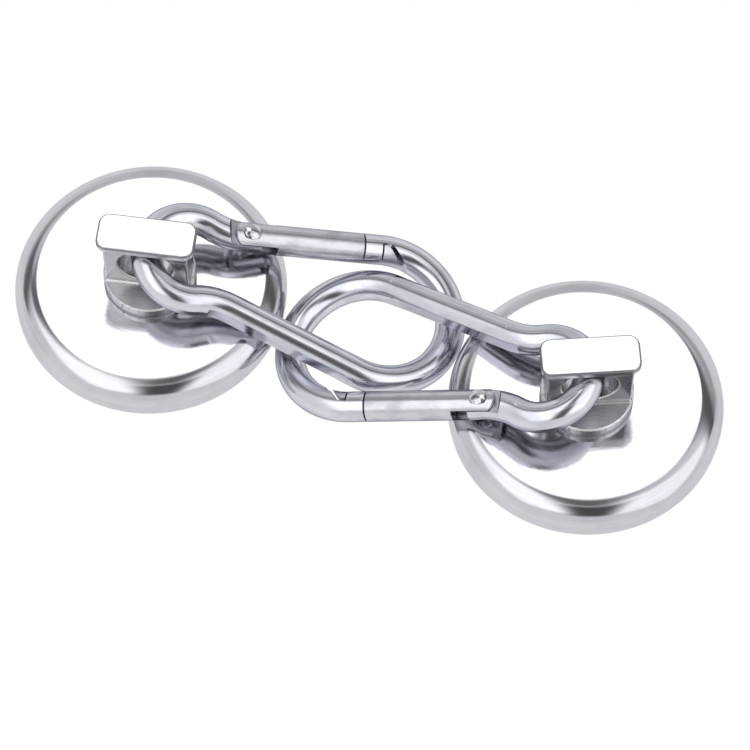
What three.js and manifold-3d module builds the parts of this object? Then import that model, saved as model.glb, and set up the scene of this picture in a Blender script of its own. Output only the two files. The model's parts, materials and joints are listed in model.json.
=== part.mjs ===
// Magnet fishing set: two round pot magnets, each with an eye lug, joined by two linked snap hooks.
// Millimetres, +Z up, working faces of the magnets on z = 0, the chain along X, origin midway.
import * as THREE from 'three';
import { mergeVertices } from 'three/addons/utils/BufferGeometryUtils.js';
import Module from 'manifold-3d';

const wasm = await Module();
wasm.setup();

// ---------------------------------------------------------------- driving dimensions
const CLEARANCE = 0.3; // between touching pieces that aren't flat on flat
const JOIN = 1; // how far two forms that make one piece run into each other

const POT = {
  radius: 45,
  height: 18,
  lowEdge: 9, // rounding of the lower edge
  sideBand: 2, // straight part of the side; the upper edge's rounding takes the rest of the height
  plate: 6.5, // thickness of the cup's closed end
  wall: 12, // at the open end
};
const RESIN = { width: 3 };
const MAGNET = { nutPlay: 1.185, recess: 0.5 }; // room round the nut's corners, and depth under the rim
const WASHER = { thickness: 1 };
const STUD = { radius: 5, below: 0.5 }; // the lug's threaded stud, and how far it passes the nut
const NUT = { acrossFlats: 17, thickness: 5 };
const LUG = {
  footRadius: 15.3,
  footThickness: 3.4,
  footChamfer: 0.5,
  tongueHalf: 5.2, // half the tongue's thickness
  headThickness: 2.5,
  headBevel: 0.7,
  headCorner: 3,
  headOverhang: 0.8, // beyond the foot, at the head's ends
  headLip: 1.5, // beyond the tongue, at the head's sides
  holePlay: 4, // how much the cross hole's radius is larger than the wire's
  overHole: 0.9, // metal between the hole and the head
  holeFlare: 0.8, // chamfer at the hole's two mouths
};
const WIRE = { radius: 5, sides: 14, step: 3.5 };
const HOOK = {
  smallRadius: 14.6, // all radii on the wire's centre line
  bigRadius: 23.3,
  overhang: 21.5, // the big end's centre lies this much farther out than the pot's rim
  flare: THREE.MathUtils.degToRad(12), // half the angle between gate and spine
  neckRadius: 24,
};
const HINGE = {
  along: 0.8, // places along the gate are measured from the start of its straight line
  shoulder: -5.8, // where the round wire ends and its flat tongue starts
  tongueEnd: 4.5,
  tongueHalf: 2.7,
  rivetRadius: 1.6,
  headRadius: 2.75,
  headHeight: 1.1,
  headSeat: 0.5, // depth of the flat that the rivet's head sits on
};
const GATE = {
  endMargin: 0.2, // the round end about the rivet is this much larger than the wire
  seam: 6.83, // the gate ends this far before its line meets the big end
  solidEnd: 6, // between the bore and the seam
  slotEnd: 10,
  boreRadius: 3.1,
  sides: 18,
};
const LATCH = {
  neckHalf: 1.4, // half the thickness of the neck that lies in the nose's slot
  top: -0.3, // the latch fills the inner half of the wire
  back: -0.13, // face behind the nose's prongs, counted from where the line meets the big end
  tip: 1.37, // where the slanted front starts
  slant: 0.8, // how far the front runs on, for each millimetre inwards
  prongGap: 0.6,
  frontGap: 1.1,
};
const PLUNGER = {
  tipRadius: 1.6,
  collarRadius: 2.7,
  collarStart: 11,
  collarEnd: 12.5,
  guideRadius: 1.3,
  guideEnd: 19,
};
const SPRING = { meanRadius: 2.2, wireRadius: 0.4, turns: 9, stepsPerTurn: 10, sides: 5 };

// Where the two halves lie. Each hook slopes from its lug's hole, over the pot's rim, to the floor.
const LAY = {
  slope: Math.atan(0.29), // steep enough for each wire to pass over the other
  aboveHole: 1.034, // the wire's axis lies off the hole's axis, upwards and away from the link
  beyondHole: 0.927,
  rimGap: 0.02,
};
const SIDES = [
  { name: 'left', turn: 0, lugYaw: 9.4, hookYaw: 6.9, pastMiddle: 2.5, hookAcross: 3.6 },
  { name: 'right', turn: 180, lugYaw: 20.7, hookYaw: -2.55, pastMiddle: 2.6, hookAcross: 4.6 },
];

// ---------------------------------------------------------------- materials
const metal = (color, roughness) => new THREE.MeshStandardMaterial({ color, roughness, metalness: 1 });
const MATERIALS = {
  pot: metal(0xd9dadd, 0.12),
  magnet: metal(0xa9abb0, 0.35),
  resin: new THREE.MeshStandardMaterial({ color: 0x1c1d20, roughness: 0.45, metalness: 0 }),
  lug: metal(0xcfd0d4, 0.28),
  wire: metal(0xc4c5cd, 0.18),
  gate: metal(0xb4b5bc, 0.3),
  rivet: metal(0xdddde2, 0.2),
  fastener: metal(0xb9bac0, 0.3),
  spring: metal(0x8d8f96, 0.3),
};

// ---------------------------------------------------------------- solids
function toSolid(geometry) {
  const bare = geometry.clone();
  bare.deleteAttribute('normal');
  bare.deleteAttribute('uv');
  const merged = mergeVertices(bare);
  const corners = merged.index.array;
  const kept = [];
  for (let i = 0; i < corners.length; i += 3) {
    const [a, b, c] = corners.slice(i, i + 3);
    if (a !== b && b !== c && c !== a) kept.push(a, b, c);
  }
  return new wasm.Manifold(new wasm.Mesh({
    numProp: 3,
    vertProperties: Float32Array.from(merged.attributes.position.array),
    triVerts: Uint32Array.from(kept),
  }));
}

function toGeometry(solid) {
  const { vertProperties, triVerts } = solid.getMesh();
  const geometry = new THREE.BufferGeometry();
  geometry.setAttribute('position', new THREE.BufferAttribute(Float32Array.from(vertProperties), 3));
  geometry.setIndex(Array.from(triVerts));
  geometry.computeVertexNormals();
  return geometry;
}

// Points of an arc in a plane, its ends included.
function arc(cx, cy, radius, from, to, steps) {
  return Array.from({ length: steps + 1 }, (_, i) => {
    const angle = from + ((to - from) * i) / steps;
    return [cx + radius * Math.cos(angle), cy + radius * Math.sin(angle)];
  });
}

// A body turned about Z from its outline of [radius, z] points, listed from the bottom up on the outside.
function turned(outline, segments = 40) {
  const points = outline.map(([r, z]) => new THREE.Vector2(r, z));
  const lathe = new THREE.LatheGeometry(points, segments);
  return toSolid(lathe.rotateX(Math.PI / 2));
}

// A ring with a plain rectangular section.
function ring(inner, outer, bottom, top, segments = 40) {
  return turned([[inner, bottom], [outer, bottom], [outer, top], [inner, top], [inner, bottom]], segments);
}

function cylinder(radius, bottom, top, segments = 24) {
  return turned([[0, bottom], [radius, bottom], [radius, top], [0, top]], segments);
}

// A flat outline in XY given a thickness along Z.
function prism(points, bottom, top) {
  const shape = new THREE.Shape(points.map(([x, y]) => new THREE.Vector2(x, y)));
  const slab = new THREE.ExtrudeGeometry(shape, { depth: top - bottom, bevelEnabled: false });
  return toSolid(slab.translate(0, 0, bottom));
}

function roundSection(radius, sides) {
  return new THREE.Shape(arc(0, 0, radius, 0, 2 * Math.PI, sides).slice(0, -1)
    .map(([x, y]) => new THREE.Vector2(x, y)));
}

function swept(path, radius, sides, steps) {
  return toSolid(new THREE.ExtrudeGeometry(roundSection(radius, sides), { steps, extrudePath: path }));
}

// ---------------------------------------------------------------- magnet
const cupRoof = POT.height - POT.plate;
const topEdge = POT.height - POT.sideBand - POT.lowEdge;
const boreRadius = POT.radius - POT.wall;
const magnetRadius = boreRadius - RESIN.width;
const nutCorner = NUT.acrossFlats / 2 / Math.cos(Math.PI / 6);
const washerTop = POT.height + WASHER.thickness;
const footTop = washerTop + LUG.footThickness;

// The hole sits as high as the sloping wire needs to clear the pot's rounded rim.
const rimAxisRadius = POT.radius - topEdge;
const wireOffRimAxis = topEdge + WIRE.radius + LAY.rimGap;
const wireAboveRimAxis = (wireOffRimAxis + rimAxisRadius * Math.sin(LAY.slope)) / Math.cos(LAY.slope);
const wireHeight = POT.height - topEdge + wireAboveRimAxis; // of the wire's axis over the pot's axis
const holeHeight = wireHeight - LAY.aboveHole;
const holeRadius = WIRE.radius + LUG.holePlay;
const headBottom = holeHeight + holeRadius + LUG.overHole;

function potShell() {
  const { radius, height, lowEdge } = POT;
  const quarter = Math.PI / 2;
  const studHole = STUD.radius + CLEARANCE;
  return turned([
    [boreRadius, 0],
    ...arc(radius - lowEdge, lowEdge, lowEdge, -quarter, 0, 5),
    ...arc(radius - topEdge, height - topEdge, topEdge, 0, quarter, 5),
    [studHole, height],
    [studHole, cupRoof],
    [boreRadius, cupRoof],
    [boreRadius, 0],
  ], 48);
}

function magnetRing() {
  return ring(nutCorner + MAGNET.nutPlay, magnetRadius, MAGNET.recess, cupRoof);
}

function resinRing() {
  return ring(magnetRadius + CLEARANCE, boreRadius - CLEARANCE, MAGNET.recess, cupRoof);
}

function lockNut() {
  const hexagon = arc(0, 0, nutCorner, 0, 2 * Math.PI, 6).slice(0, -1);
  const bottom = cupRoof - NUT.thickness;
  return prism(hexagon, bottom, cupRoof)
    .subtract(cylinder(STUD.radius + CLEARANCE, bottom - 1, cupRoof + 1));
}

function lugWasher() {
  return ring(STUD.radius + CLEARANCE, LUG.footRadius - CLEARANCE, POT.height, washerTop);
}

function lugHead() {
  const { headCorner, headBevel, headThickness } = LUG;
  const inset = headCorner + headBevel;
  const x = LUG.footRadius + LUG.headOverhang - inset;
  const y = LUG.tongueHalf + LUG.headLip - inset;
  const quarter = Math.PI / 2;
  const corners = [[x, -y], [x, y], [-x, y], [-x, -y]];
  const outline = corners.flatMap(
    ([cx, cy], i) => arc(cx, cy, headCorner, (i - 1) * quarter, i * quarter, 4),
  );
  const shape = new THREE.Shape(outline.map(([px, py]) => new THREE.Vector2(px, py)));
  const slab = new THREE.ExtrudeGeometry(shape, {
    depth: headThickness - 2 * headBevel,
    bevelThickness: headBevel,
    bevelSize: headBevel,
    bevelSegments: 1,
  });
  return toSolid(slab.translate(0, 0, headBottom + headBevel));
}

// The cross hole's cutter lies along Y and widens at the tongue's two faces.
function lugHoleCutter() {
  const { holeFlare, tongueHalf } = LUG;
  const wide = holeRadius + 2 * holeFlare; // at the cutter's ends, clear of the two faces
  const cutter = turned([
    [0, -tongueHalf - holeFlare],
    [wide, -tongueHalf - holeFlare],
    [holeRadius, -tongueHalf + holeFlare],
    [holeRadius, tongueHalf - holeFlare],
    [wide, tongueHalf + holeFlare],
    [0, tongueHalf + holeFlare],
  ], 32);
  return cutter.rotate([90, 0, 0]).translate([0, 0, holeHeight]);
}

function eyeLug() {
  const { footRadius, footChamfer, tongueHalf } = LUG;
  const foot = turned([
    [0, washerTop],
    [footRadius, washerTop],
    [footRadius, footTop - footChamfer],
    [footRadius - footChamfer, footTop],
    [0, footTop],
  ]);
  const halfLength = Math.sqrt(footRadius ** 2 - tongueHalf ** 2) - footChamfer;
  const rectangle = [[-halfLength, -tongueHalf], [halfLength, -tongueHalf],
    [halfLength, tongueHalf], [-halfLength, tongueHalf]];
  const tongue = prism(rectangle, footTop - JOIN, headBottom + LUG.headBevel);
  const stud = cylinder(STUD.radius, cupRoof - NUT.thickness - STUD.below, washerTop + JOIN);
  return foot.add(tongue).add(lugHead()).subtract(lugHoleCutter()).add(stud);
}

// ---------------------------------------------------------------- snap hook
// In a hook's own frame the small end is centred on the origin, the big end lies along +X, the gate
// is on the +Y side, and Z is square to the hook's plane.
const lineAngle = HOOK.flare;
const span = POT.radius + HOOK.overhang; // between the centres of the small and the big end
const along = new THREE.Vector2(Math.cos(lineAngle), Math.sin(lineAngle));
const outward = new THREE.Vector2(-Math.sin(lineAngle), Math.cos(lineAngle));
const lineOffset = HOOK.bigRadius - span * Math.sin(lineAngle);
const neckOffset = lineOffset + HOOK.neckRadius;
const lineStart = Math.sqrt((HOOK.smallRadius + HOOK.neckRadius) ** 2 - neckOffset ** 2);
const lineLength = span * Math.cos(lineAngle) - lineStart;
const gateEnd = lineLength - GATE.seam;
const boreEnd = gateEnd - GATE.solidEnd;
const latchBack = lineLength + LATCH.back;
const neckCentre = along.clone().multiplyScalar(lineStart).addScaledVector(outward, neckOffset);
const neckAngle = Math.atan2(neckCentre.y, neckCentre.x);

// A point s along the gate's straight line and n outwards from it, in the hook's own frame.
function onGate(s, n = 0) {
  const point = along.clone().multiplyScalar(lineStart + s).addScaledVector(outward, lineOffset + n);
  return [point.x, point.y];
}

class FlatArc extends THREE.Curve {
  constructor(cx, cy, radius, from, to) {
    super();
    Object.assign(this, { cx, cy, radius, from, to });
  }

  getPoint(t, target = new THREE.Vector3()) {
    const angle = this.from + (this.to - this.from) * t;
    return target.set(this.cx + this.radius * Math.cos(angle), this.cy + this.radius * Math.sin(angle), 0);
  }
}

function straight(from, to) {
  return new THREE.LineCurve3(new THREE.Vector3(...from, 0), new THREE.Vector3(...to, 0));
}

// The wire's centre line from a place on the nose, round the big end, the spine and the small end.
function wireCentreLine(noseStart) {
  const half = Math.PI / 2 + lineAngle;
  const mirrored = ([x, y]) => [x, -y];
  const path = new THREE.CurvePath();
  path.add(straight(onGate(noseStart), onGate(lineLength)));
  path.add(new FlatArc(span, 0, HOOK.bigRadius, half, -half));
  path.add(straight(mirrored(onGate(lineLength)), mirrored(onGate(0))));
  const neckFrom = lineAngle - Math.PI / 2;
  const neckTo = neckAngle - Math.PI;
  path.add(new FlatArc(neckCentre.x, -neckCentre.y, HOOK.neckRadius, -neckFrom, -neckTo));
  path.add(new FlatArc(0, 0, HOOK.smallRadius, -neckAngle, neckAngle - 2 * Math.PI));
  path.add(new FlatArc(neckCentre.x, neckCentre.y, HOOK.neckRadius, neckTo, neckFrom));
  path.add(straight(onGate(0), onGate(HINGE.tongueEnd)));
  return path;
}

function wire(noseStart) {
  const path = wireCentreLine(noseStart);
  return swept(path, WIRE.radius, WIRE.sides, Math.round(path.getLength() / WIRE.step));
}

const gatePrism = (points, bottom, top) => prism(points.map(([s, n]) => onGate(s, n)), bottom, top);
const rectangleOnGate = (from, to, low, high) => [[from, low], [to, low], [to, high], [from, high]];
const reach = 1.5 * WIRE.radius; // past the wire's surface on every side

// The latch's outline on the gate, grown by its gaps where it is cut out of the nose.
function latchOutline(backGap, topGap, frontGap) {
  const { tip, top, slant } = LATCH;
  const high = top + topGap;
  const front = lineLength + tip + frontGap;
  const rear = latchBack - backGap;
  return [[rear, -reach], [front + slant * (reach + high), -reach], [front, high], [rear, high]];
}

function hookBody() {
  const noseStart = gateEnd + CLEARANCE;
  const { shoulder, tongueEnd, tongueHalf, along: pin, rivetRadius } = HINGE;
  const flatSides = rectangleOnGate(shoulder, tongueEnd + JOIN, -reach, reach);
  const slotHalf = LATCH.neckHalf + CLEARANCE;
  const slotTop = LATCH.top + 2 * CLEARANCE;
  const neckSlot = rectangleOnGate(noseStart - JOIN, latchBack, -reach, slotTop);
  const notch = latchOutline(LATCH.prongGap, 2 * CLEARANCE, LATCH.frontGap);
  return wire(noseStart)
    .subtract(gatePrism(flatSides, tongueHalf, reach))
    .subtract(gatePrism(flatSides, -reach, -tongueHalf))
    .subtract(cylinder(rivetRadius + CLEARANCE, -reach, reach, 16).translate([...onGate(pin), 0]))
    .subtract(gatePrism(neckSlot, -slotHalf, slotHalf))
    .subtract(gatePrism(notch, -reach, reach));
}

// Lays a solid that was made about Z along the gate's line.
function onGateAxis(solid) {
  return solid.rotate([0, 90, 0])
    .rotate([0, 0, THREE.MathUtils.radToDeg(lineAngle)])
    .translate([...onGate(0), 0]);
}

function gate() {
  const { along: pin, tongueHalf, rivetRadius, headRadius, headSeat } = HINGE;
  const { slotEnd } = GATE;
  const endRadius = WIRE.radius + GATE.endMargin;
  const roundEnd = [[gateEnd, -reach], [gateEnd, reach], [pin, reach],
    ...arc(pin, 0, endRadius, Math.PI / 2, 1.5 * Math.PI, 10), [pin, -reach]];
  const slotHalf = tongueHalf + CLEARANCE;
  const slot = gatePrism(rectangleOnGate(pin - reach, slotEnd, -reach, reach), -slotHalf, slotHalf);
  const seat = WIRE.radius - headSeat;
  const pinHole = cylinder(rivetRadius + CLEARANCE, -reach, reach, 16);
  const headSpace = cylinder(headRadius + CLEARANCE, seat, reach, 16);
  const rivetSpace = pinHole.add(headSpace).add(headSpace.rotate([180, 0, 0])).translate([...onGate(pin), 0]);
  const tube = onGateAxis(cylinder(WIRE.radius, pin - reach, gateEnd, GATE.sides))
    .intersect(gatePrism(roundEnd, -reach, reach))
    .subtract(slot)
    .subtract(onGateAxis(cylinder(GATE.boreRadius, slotEnd - JOIN, boreEnd, 16)))
    .subtract(rivetSpace);
  const { neckHalf, top } = LATCH;
  const neckSpan = [gateEnd - JOIN, latchBack + JOIN];
  const neck = onGateAxis(cylinder(WIRE.radius, ...neckSpan, GATE.sides))
    .intersect(gatePrism(rectangleOnGate(...neckSpan, -reach, top), -neckHalf, neckHalf));
  const head = wire(gateEnd - JOIN).intersect(gatePrism(latchOutline(0, 0, 0), -reach, reach));
  return tube.add(neck).add(head);
}

function gateRivet() {
  const { rivetRadius, headRadius, headHeight, headSeat } = HINGE;
  const base = WIRE.radius - headSeat + CLEARANCE;
  const dome = (headHeight ** 2 + headRadius ** 2) / (2 * headHeight);
  const rim = Math.asin(headRadius / dome);
  const upper = arc(0, base + headHeight - dome, dome, Math.PI / 2 - rim, Math.PI / 2, 4);
  const lower = upper.map(([r, z]) => [r, -z]).reverse();
  return turned([...lower, [rivetRadius, -base], [rivetRadius, base], ...upper], 16)
    .translate([...onGate(HINGE.along), 0]);
}

function gatePlunger() {
  const { tipRadius, collarRadius, collarStart, collarEnd, guideRadius, guideEnd } = PLUNGER;
  const tip = HINGE.tongueEnd + CLEARANCE;
  return onGateAxis(turned([
    ...arc(0, tip + tipRadius, tipRadius, -Math.PI / 2, 0, 3),
    [tipRadius, collarStart],
    [collarRadius, collarStart],
    [collarRadius, collarEnd],
    [guideRadius, collarEnd],
    [guideRadius, guideEnd],
    [0, guideEnd],
  ], 14));
}

class Helix extends THREE.Curve {
  constructor(radius, from, to, turns) {
    super();
    Object.assign(this, { radius, from, to, turns });
  }

  getPoint(t, target = new THREE.Vector3()) {
    const angle = 2 * Math.PI * this.turns * t;
    const height = this.from + (this.to - this.from) * t;
    return target.set(this.radius * Math.cos(angle), this.radius * Math.sin(angle), height);
  }
}

function gateSpring() {
  const { meanRadius, wireRadius, turns, stepsPerTurn, sides } = SPRING;
  const from = PLUNGER.collarEnd + CLEARANCE + wireRadius;
  const to = boreEnd - CLEARANCE - wireRadius;
  return onGateAxis(swept(new Helix(meanRadius, from, to, turns), wireRadius, sides, turns * stepsPerTurn));
}

// ---------------------------------------------------------------- assembly
const magnetPieces = {
  pot_shell: [potShell(), MATERIALS.pot],
  magnet_ring: [magnetRing(), MATERIALS.magnet],
  resin_ring: [resinRing(), MATERIALS.resin],
  lock_nut: [lockNut(), MATERIALS.fastener],
  lug_washer: [lugWasher(), MATERIALS.fastener],
};
const lugPieces = { eye_lug: [eyeLug(), MATERIALS.lug] };
const hookPieces = {
  hook_body: [hookBody(), MATERIALS.wire],
  gate: [gate(), MATERIALS.gate],
  gate_rivet: [gateRivet(), MATERIALS.rivet],
  gate_spring: [gateSpring(), MATERIALS.spring],
  gate_plunger: [gatePlunger(), MATERIALS.fastener],
};

function addPieces(group, side, pieces) {
  for (const [piece, [solid, material]] of Object.entries(pieces)) {
    const mesh = new THREE.Mesh(toGeometry(solid), material);
    mesh.name = `${side}_${piece}`;
    group.add(mesh);
  }
}

const bigEndReach = span - SIDES[0].pastMiddle; // from the small end's centre to the middle of the chain
const halfSpacing = Math.cos(LAY.slope) * (HOOK.smallRadius + bigEndReach - LAY.beyondHole);
const linkHeight = wireHeight - Math.tan(LAY.slope) * halfSpacing; // of both hooks' planes in the middle

const chain = new THREE.Group();
for (const side of SIDES) {
  const { degToRad } = THREE.MathUtils;
  const magnet = new THREE.Group();
  magnet.position.x = side.turn ? halfSpacing : -halfSpacing;
  addPieces(magnet, side.name, magnetPieces);
  const lug = new THREE.Group();
  lug.rotation.z = degToRad(side.lugYaw);
  addPieces(lug, side.name, lugPieces);
  magnet.add(lug);

  const half = new THREE.Group();
  half.rotation.z = degToRad(side.turn);
  const slope = new THREE.Group();
  slope.position.z = linkHeight;
  slope.rotation.y = LAY.slope;
  const hook = new THREE.Group();
  hook.position.set(side.pastMiddle - span, side.hookAcross, 0);
  hook.rotation.z = degToRad(side.hookYaw);
  addPieces(hook, side.name, hookPieces);
  half.add(slope.add(hook));
  chain.add(magnet, half);
}

export default chain;
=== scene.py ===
"""Magnet fishing set: two pot magnets with eye lugs, joined by two linked snap hooks.

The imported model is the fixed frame. Every visible piece is made again here as a fine mesh, in a frame
of its own in millimetres, and is laid where the frame's joints and boxes say that the piece is.
"""
from __future__ import annotations

import json
import logging
import math
from dataclasses import dataclass, field
from enum import Enum
from typing import Callable, Sequence, Union

import bmesh
import bpy
from mathutils import Matrix, Vector
from mathutils.kdtree import KDTree

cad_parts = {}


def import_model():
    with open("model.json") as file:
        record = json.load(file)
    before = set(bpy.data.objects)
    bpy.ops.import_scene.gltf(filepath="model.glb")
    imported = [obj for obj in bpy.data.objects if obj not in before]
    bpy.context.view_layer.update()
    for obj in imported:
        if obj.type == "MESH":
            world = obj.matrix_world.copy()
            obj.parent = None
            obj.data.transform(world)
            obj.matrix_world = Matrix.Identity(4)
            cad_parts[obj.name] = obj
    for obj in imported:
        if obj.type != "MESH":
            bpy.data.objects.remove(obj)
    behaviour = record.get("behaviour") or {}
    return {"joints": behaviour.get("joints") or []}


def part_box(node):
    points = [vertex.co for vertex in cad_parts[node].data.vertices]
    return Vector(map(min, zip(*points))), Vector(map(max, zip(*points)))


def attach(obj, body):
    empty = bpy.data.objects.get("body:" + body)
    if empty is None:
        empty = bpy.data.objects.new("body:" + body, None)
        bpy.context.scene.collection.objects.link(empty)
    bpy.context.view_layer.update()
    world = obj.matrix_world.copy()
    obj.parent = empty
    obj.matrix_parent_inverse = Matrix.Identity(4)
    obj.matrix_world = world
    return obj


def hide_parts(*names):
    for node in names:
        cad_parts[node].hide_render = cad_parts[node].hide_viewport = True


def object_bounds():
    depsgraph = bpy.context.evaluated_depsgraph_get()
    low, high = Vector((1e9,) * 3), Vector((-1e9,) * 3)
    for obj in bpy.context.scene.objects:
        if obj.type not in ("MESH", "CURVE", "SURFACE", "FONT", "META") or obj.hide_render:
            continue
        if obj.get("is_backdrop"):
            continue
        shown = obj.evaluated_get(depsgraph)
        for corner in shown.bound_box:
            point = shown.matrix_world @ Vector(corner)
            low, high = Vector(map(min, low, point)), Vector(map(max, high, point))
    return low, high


LOG = logging.getLogger("magnet_set")
MM = 0.001
GRAIN = "grain"
RIGHT_ANGLE = math.pi / 2
Point2 = tuple[float, float]
Colour = tuple[float, float, float]
Number = Union[float, "Signal"]


class Side(Enum):
    """The two halves of the set."""

    LEFT = "left"
    RIGHT = "right"


class Cut(Enum):
    """The ways in which one form works on another."""

    AWAY = "DIFFERENCE"
    TOGETHER = "UNION"
    COMMON = "INTERSECT"


# ---------------------------------------------------------------- forms


@dataclass
class Form:
    """A closed mesh in a piece's own frame, in millimetres."""

    points: list[Vector]
    faces: list[tuple[int, ...]]

    def moved(self, matrix: Matrix) -> "Form":
        """Returns the form moved by a matrix."""
        return Form([matrix @ point for point in self.points], self.faces)

    def mesh(self, name: str) -> bpy.types.Mesh:
        """Makes a Blender mesh of the form, with its faces pointing out.

        Args:
            name: The mesh's name.

        Returns:
            The new mesh.
        """
        data = bpy.data.meshes.new(name)
        data.from_pydata([tuple(point) for point in self.points], [], self.faces)
        work = bmesh.new()
        work.from_mesh(data)
        bmesh.ops.recalc_face_normals(work, faces=work.faces)
        if work.calc_volume(signed=True) < 0:
            bmesh.ops.reverse_faces(work, faces=work.faces)
        work.to_mesh(data)
        work.free()
        return data


def arc(centre: Point2, radius: float, start: float, end: float, steps: int) -> list[Point2]:
    """Lists the points of an arc, its ends included.

    Args:
        centre: The arc's centre.
        radius: Its radius.
        start: The angle of its first point, in radians.
        end: The angle of its last point.
        steps: The number of steps between them.

    Returns:
        The points in order.
    """
    angles = (start + (end - start) * i / steps for i in range(steps + 1))
    return [(centre[0] + radius * math.cos(a), centre[1] + radius * math.sin(a)) for a in angles]


def turned(profile: Sequence[Point2], segments: int = 128) -> Form:
    """Turns an outline about Z.

    Args:
        profile: Points of (radius, height) that end on the axis or close on themselves.
        segments: The number of steps round the axis.

    Returns:
        The turned form.
    """
    closed = profile[0] == profile[-1]
    outline = list(profile[:-1]) if closed else list(profile)
    points: list[Vector] = []
    rows: list[list[int]] = []
    for radius, height in outline:
        if radius < 1e-9:
            rows.append([len(points)] * segments)
            points.append(Vector((0, 0, height)))
            continue
        rows.append(list(range(len(points), len(points) + segments)))
        for step in range(segments):
            angle = 2 * math.pi * step / segments
            points.append(Vector((radius * math.cos(angle), radius * math.sin(angle), height)))
    pairs = list(zip(rows, rows[1:] + rows[:1])) if closed else list(zip(rows, rows[1:]))
    return Form(points, _bands(pairs, segments))


def _bands(pairs: Sequence[tuple[list[int], list[int]]], count: int) -> list[tuple[int, ...]]:
    """Joins pairs of rings of point numbers with faces.

    Args:
        pairs: Pairs of rings, each a list of point numbers.
        count: The number of points in a ring.

    Returns:
        The faces, each with three or four corners.
    """
    faces: list[tuple[int, ...]] = []
    for low, high in pairs:
        for i in range(count):
            j = (i + 1) % count
            corners = tuple(dict.fromkeys((low[i], low[j], high[j], high[i])))
            if len(corners) > 2:
                faces.append(corners)
    return faces


def lofted(rings: Sequence[Sequence[Vector]]) -> Form:
    """Joins rings with the same number of points and closes the first and the last.

    Args:
        rings: The rings, from one end of the form to the other.

    Returns:
        The closed form.
    """
    count = len(rings[0])
    points = [point for ring in rings for point in ring]
    rows = [list(range(k * count, (k + 1) * count)) for k in range(len(rings))]
    faces = _bands(list(zip(rows, rows[1:])), count)
    faces.append(tuple(reversed(rows[0])))
    faces.append(tuple(rows[-1]))
    return Form(points, faces)


def prism(outline: Sequence[Point2], low: float, high: float) -> Form:
    """Gives a flat outline in XY a thickness along Z."""
    return lofted([[Vector((x, y, z)) for x, y in outline] for z in (low, high)])


def rectangle(x: Point2, y: Point2) -> list[Point2]:
    """Lists the corners of a rectangle that spans x and y."""
    return [(x[0], y[0]), (x[1], y[0]), (x[1], y[1]), (x[0], y[1])]


def bar(radius: float, start: float, end: float, segments: int = 64) -> Form:
    """Makes a round bar along X."""
    lathe = turned([(0, start), (radius, start), (radius, end), (0, end)], segments)
    return lathe.moved(Matrix.Rotation(RIGHT_ANGLE, 4, "Y"))


class Bench:
    """Works on forms with Blender's modifiers, on scratch objects that it removes again."""

    @staticmethod
    def finished(data: bpy.types.Mesh, modifiers: Sequence[tuple[str, dict]]) -> bpy.types.Mesh:
        """Applies modifiers to a mesh.

        Args:
            data: The mesh to work on, which is used up.
            modifiers: Pairs of a modifier's type and its settings.

        Returns:
            A new mesh.
        """
        scratch = bpy.data.objects.new("scratch", data)
        bpy.context.scene.collection.objects.link(scratch)
        for kind, settings in modifiers:
            modifier = scratch.modifiers.new(kind, kind)
            for key, value in settings.items():
                setattr(modifier, key, value)
        graph = bpy.context.evaluated_depsgraph_get()
        result = bpy.data.meshes.new_from_object(
            scratch.evaluated_get(graph), preserve_all_data_layers=True, depsgraph=graph)
        bpy.data.objects.remove(scratch)
        bpy.data.meshes.remove(data)
        return result

    @classmethod
    def worked(cls, base: Form, steps: Sequence[tuple[Cut, Form]]) -> Form:
        """Cuts, joins or intersects a form with others, one after another.

        Args:
            base: The form that is worked on.
            steps: Pairs of the way to work and the other form.

        Returns:
            The worked form.
        """
        tools = []
        modifiers = []
        for how, other in steps:
            tool = bpy.data.objects.new("tool", other.mesh("tool"))
            bpy.context.scene.collection.objects.link(tool)
            tools.append(tool)
            modifiers.append(("BOOLEAN", {"operation": how.value, "solver": "MANIFOLD", "object": tool}))
        result = cls.finished(base.mesh("base"), modifiers)
        form = Form([vertex.co.copy() for vertex in result.vertices],
                    [tuple(polygon.vertices) for polygon in result.polygons])
        bpy.data.meshes.remove(result)
        for tool in tools:
            data = tool.data
            bpy.data.objects.remove(tool)
            bpy.data.meshes.remove(data)
        return form


# ---------------------------------------------------------------- shader sums


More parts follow.
